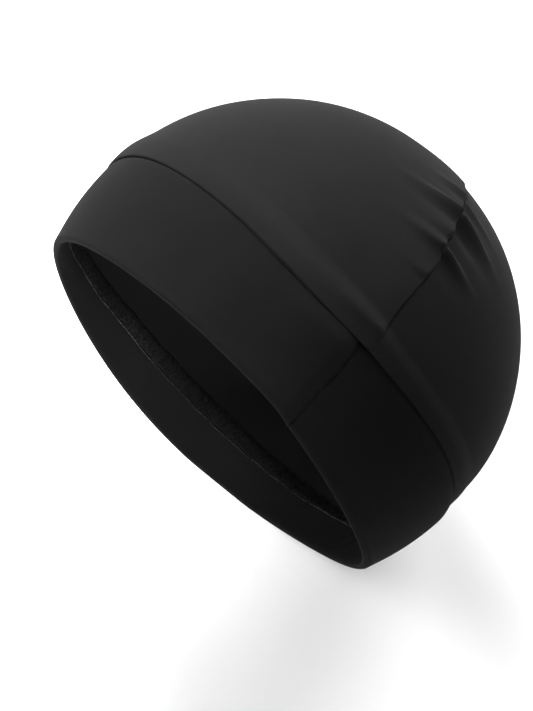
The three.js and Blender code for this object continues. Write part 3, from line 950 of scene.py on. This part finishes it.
def knitHeight(board, wale, course):
    # rows of V-shaped stitches on the cloth's map: two slanting strands a column, each a rounded sine across
    place = board.add("ShaderNodeUVMap", uv_map="cloth").outputs["UV"]
    parts = board.add("ShaderNodeSeparateXYZ", {"Vector": place})
    stray = board.add("ShaderNodeTexNoise", {"Vector": place, "Scale": knit["wanderScale"], "Detail": 1.0})
    centred = board.math("SUBTRACT", stray.outputs["Fac"], 0.5)
    strayed = board.math("MULTIPLY", centred, 2.0 * knit["wander"] * mm)
    column = board.math("DIVIDE", board.math("ADD", parts.outputs["X"], strayed), wale * mm)
    row = board.math("DIVIDE", board.math("SUBTRACT", parts.outputs["Y"], strayed), course * mm)
    across = board.math("ABSOLUTE", board.math("SINE", board.math("MULTIPLY", column, math.pi)))
    slant = board.math("PINGPONG", column, 0.5)
    phase = board.math("ADD", row, board.math("MULTIPLY", slant, knit["slant"]))
    strand = board.math("ABSOLUTE", board.math("SINE", board.math("MULTIPLY", phase, math.pi)))
    share = knit["strandShare"]
    strand = board.math("ADD", board.math("MULTIPLY", strand, share), 1.0 - share)
    return board.math("MULTIPLY", across, strand)


def shadeRamp(board, shade, positions, colour, shares):  # the colour times one share up to the other
    ramp = board.add("ShaderNodeValToRGB", {"Fac": shade})
    for element, position, share in zip(ramp.color_ramp.elements, positions, shares):
        element.position = position
        element.color = (*[share * part for part in colour], 1.0)
    board.surface({"Base Color": ramp.outputs["Color"]})


def jersey(name, colour, sheen):  # knitted stitches with specks of fuzz and a faint mottle
    board = NodeBoard(name)
    place = board.add("ShaderNodeTexCoord").outputs["Object"]
    mottle = board.add("ShaderNodeTexNoise", {"Vector": place, "Scale": knit["mottleScale"], "Detail": 4.0,
                                              "Roughness": 0.6})
    speck = board.add("ShaderNodeTexNoise", {"Vector": place, "Scale": knit["speckScale"], "Detail": 2.0,
                                             "Roughness": 0.7})
    stitches = knitHeight(board, knit["wale"], knit["course"])
    ofMottle, ofSpeck, ofStitchShade = knit["shares"]
    shade = board.math("ADD", board.math("MULTIPLY", mottle.outputs["Fac"], ofMottle),
                       board.math("MULTIPLY", speck.outputs["Fac"], ofSpeck))
    # painted shade: the stitches darken the colour in the gaps between the strands
    shade = board.math("ADD", shade, board.math("MULTIPLY", stitches, ofStitchShade))
    shadeRamp(board, shade, knit["shades"], colour, (knit["darkest"], knit["lightest"]))
    fuzz = board.add("ShaderNodeBump", {"Height": speck.outputs["Fac"], "Strength": knit["fuzz"],
                                        "Distance": knit["fuzzHeight"] * mm})
    bump = board.add("ShaderNodeBump", {"Height": stitches, "Strength": 1.0, "Distance": knit["bump"] * mm,
                                        "Normal": fuzz.outputs["Normal"]})
    board.surface({"Normal": bump.outputs["Normal"], "Roughness": knit["roughness"],
                   "Specular IOR Level": knit["specular"], "Sheen Weight": sheen,
                   "Sheen Roughness": knit["sheenRoughness"], "Sheen Tint": knit["sheenTint"]})
    return board.material


spun = {
    "twist": (0.5, 0.4),  # millimetres along the thread and round it from strand to strand
    "strandShare": 0.15,
    "fluffScale": 800.0,
    "shades": (0.48, 0.66),  # where the noise starts to lighten and is lightest
    "darkest": 0.3,
    "lightest": 3.4,
    "bump": 0.06,
    "roughness": 0.7,
    "specular": 0.06,
    "sheen": 0.015,
}


def spunThread(name, colour):  # strands that wind round the thread, lightened here and there by fluff
    board = NodeBoard(name)
    place = board.add("ShaderNodeUVMap", uv_map="cloth").outputs["UV"]
    parts = board.add("ShaderNodeSeparateXYZ", {"Vector": place})
    alongTwist, roundTwist = spun["twist"]
    twist = board.math("ADD", board.math("DIVIDE", parts.outputs["X"], alongTwist * mm),
                       board.math("DIVIDE", parts.outputs["Y"], roundTwist * mm))
    strand = board.math("ABSOLUTE", board.math("SINE", board.math("MULTIPLY", twist, math.pi)))
    fluff = board.add("ShaderNodeTexNoise", {"Vector": board.add("ShaderNodeTexCoord").outputs["Object"],
                                             "Scale": spun["fluffScale"], "Detail": 1.0})
    # painted shade: the strands' share darkens the colour in the grooves between them
    shade = board.math("ADD", fluff.outputs["Fac"], board.math("MULTIPLY", strand, spun["strandShare"]))
    shadeRamp(board, shade, spun["shades"], colour, (spun["darkest"], spun["lightest"]))
    bump = board.add("ShaderNodeBump", {"Height": strand, "Strength": 0.7, "Distance": spun["bump"] * mm})
    board.surface({"Normal": bump.outputs["Normal"], "Roughness": spun["roughness"],
                   "Specular IOR Level": spun["specular"], "Sheen Weight": spun["sheen"]})
    return board.material


# Crown and band are the same jersey: the crown's lighter colour is painted light, the band's darker colour
# painted shade
crownJersey = jersey("crown_jersey", (0.0093, 0.0093, 0.0095), 0.0075)
bandJersey = jersey("band_jersey", (0.0057, 0.0057, 0.0058), 0.0085)
# the overlock thread is near black partly by its own colour and partly as painted shade for the raw edges
# lying in shadow
overlockThread = spunThread("overlock_thread", (0.0026, 0.0026, 0.0027))
# the needle thread's lighter colour is partly its own and partly a painted highlight along the raised stitch
# line
needleThread = spunThread("needle_thread", (0.017, 0.017, 0.0174))

addCrown(crownJersey)
addBand(bandJersey)
addHemEdge(bandJersey, overlockThread, needleThread)
addJoinEdge(crownJersey, overlockThread)
addBackEdges(crownJersey, overlockThread)
print("cap finished")


# The table, the light and the camera

view = {
    "azimuth": 46.388,  # degrees round from the front
    "elevation": 60.094,  # degrees above the table
    "distance": 1.5,
    "centre": (0.0, 0.0, 0.095),
    "aside": -0.019069,  # the picture's middle lies this far to the right of the centre
    "upwards": -0.019782,  # and this far above it
    "pictureHeight": 0.27018,  # height that the picture takes in at the centre
}


def viewAxes():  # right, up and back of the picture, from azimuth and elevation
    turn, raised = math.radians(view["azimuth"]), math.radians(view["elevation"])
    right = Vector((math.cos(turn), math.sin(turn), 0.0))
    back = Vector((math.sin(turn) * math.cos(raised), -math.cos(turn) * math.cos(raised), math.sin(raised)))
    return right, back.cross(right), back


def addCamera():  # a long lens that takes in the picture's height at the centre
    right, up, back = viewAxes()
    aim = Vector(view["centre"]) + view["aside"] * right + view["upwards"] * up
    data = bpy.data.cameras.new("camera")
    data.sensor_fit = "VERTICAL"
    data.sensor_height = 24.0
    data.lens = data.sensor_height * view["distance"] / view["pictureHeight"]
    data.clip_end = 20.0
    camera = addObject("camera", data)
    turned = Matrix((right, up, back)).transposed().to_4x4()
    camera.matrix_world = Matrix.Translation(aim + view["distance"] * back) @ turned
    bpy.context.scene.camera = camera


# Lamps: direction as right, up and back of the picture, metres away, size, watts and width of the beam.
# The two narrow beams are turned to a place inside the rim at its left, the others to the middle.
openingPlace = (-0.07, -0.05, 0.05)
lights = {
    "key": ((-0.45, 0.75, 0.48), 1.6, 0.8, 6.5, 180.0, view["centre"]),
    "top": ((-0.2, 0.97, -0.1), 1.6, 0.6, 46.0, 180.0, view["centre"]),
    "right": ((0.5, 0.85, 0.1), 1.6, 0.8, 30.0, 180.0, view["centre"]),
    "left": ((-0.9, 0.4, 0.2), 1.6, 0.8, 22.0, 180.0, view["centre"]),
    "opening": ((-0.16, -0.48, 0.85), 0.7, 0.14, 0.14, 20.0, openingPlace),
    "front": ((0.08, 0.09, 0.99), 1.42, 0.15, 0.09, 8.0, openingPlace),
}


def addLights():  # each lamp stands along its direction and looks back at its target
    right, up, back = viewAxes()
    for name, (place, distance, size, power, beam, target) in lights.items():
        aside, upwards, towards = place
        direction = (aside * right + upwards * up + towards * back).normalized()
        data = bpy.data.lights.new(name, "AREA")
        data.shape = "DISK"
        data.size = size
        data.energy = power
        data.spread = math.radians(beam)
        lamp = addObject(name, data)
        lamp.location = Vector(target) + distance * direction
        lamp.rotation_euler = direction.to_track_quat("Z", "Y").to_euler()


table = {"half": 4.0, "grainScale": 6.0, "greys": (0.79, 0.81), "roughness": 0.9, "glow": 0.22}
worldStrength = 0.24


def addTable():  # a white square whose glow is painted light: it is no lamp, and fills in the cap's shadow and lights it from below
    half = table["half"]
    corners = [(-half, -half, 0), (half, -half, 0), (half, half, 0), (-half, half, 0)]
    mesh = bpy.data.meshes.new("table_top")
    mesh.from_pydata(corners, [], [(0, 1, 2, 3)])
    tableTop = addObject("table_top", mesh)
    board = NodeBoard("table_white")
    place = board.add("ShaderNodeTexCoord").outputs["Object"]
    grain = board.add("ShaderNodeTexNoise", {"Vector": place, "Scale": table["grainScale"], "Detail": 3.0})
    shadeRamp(board, grain.outputs["Fac"], (0.0, 1.0), (1.0, 1.0, 1.0), table["greys"])
    board.surface({"Roughness": table["roughness"], "Specular IOR Level": 0.0,
                   "Emission Color": (1.0, 1.0, 1.0, 1.0), "Emission Strength": table["glow"]})
    mesh.materials.append(board.material)


def addWorld():  # even white light from everywhere
    world = bpy.data.worlds.new("studio")
    world.use_nodes = True
    backdrop = world.node_tree.nodes["Background"]
    backdrop.inputs["Color"].default_value = (1.0, 1.0, 1.0, 1.0)
    backdrop.inputs["Strength"].default_value = worldStrength
    bpy.context.scene.world = world


addCamera()
addLights()
addTable()
addWorld()
bpy.context.scene.view_settings.view_transform = "Standard"
print("table, light and camera in place")
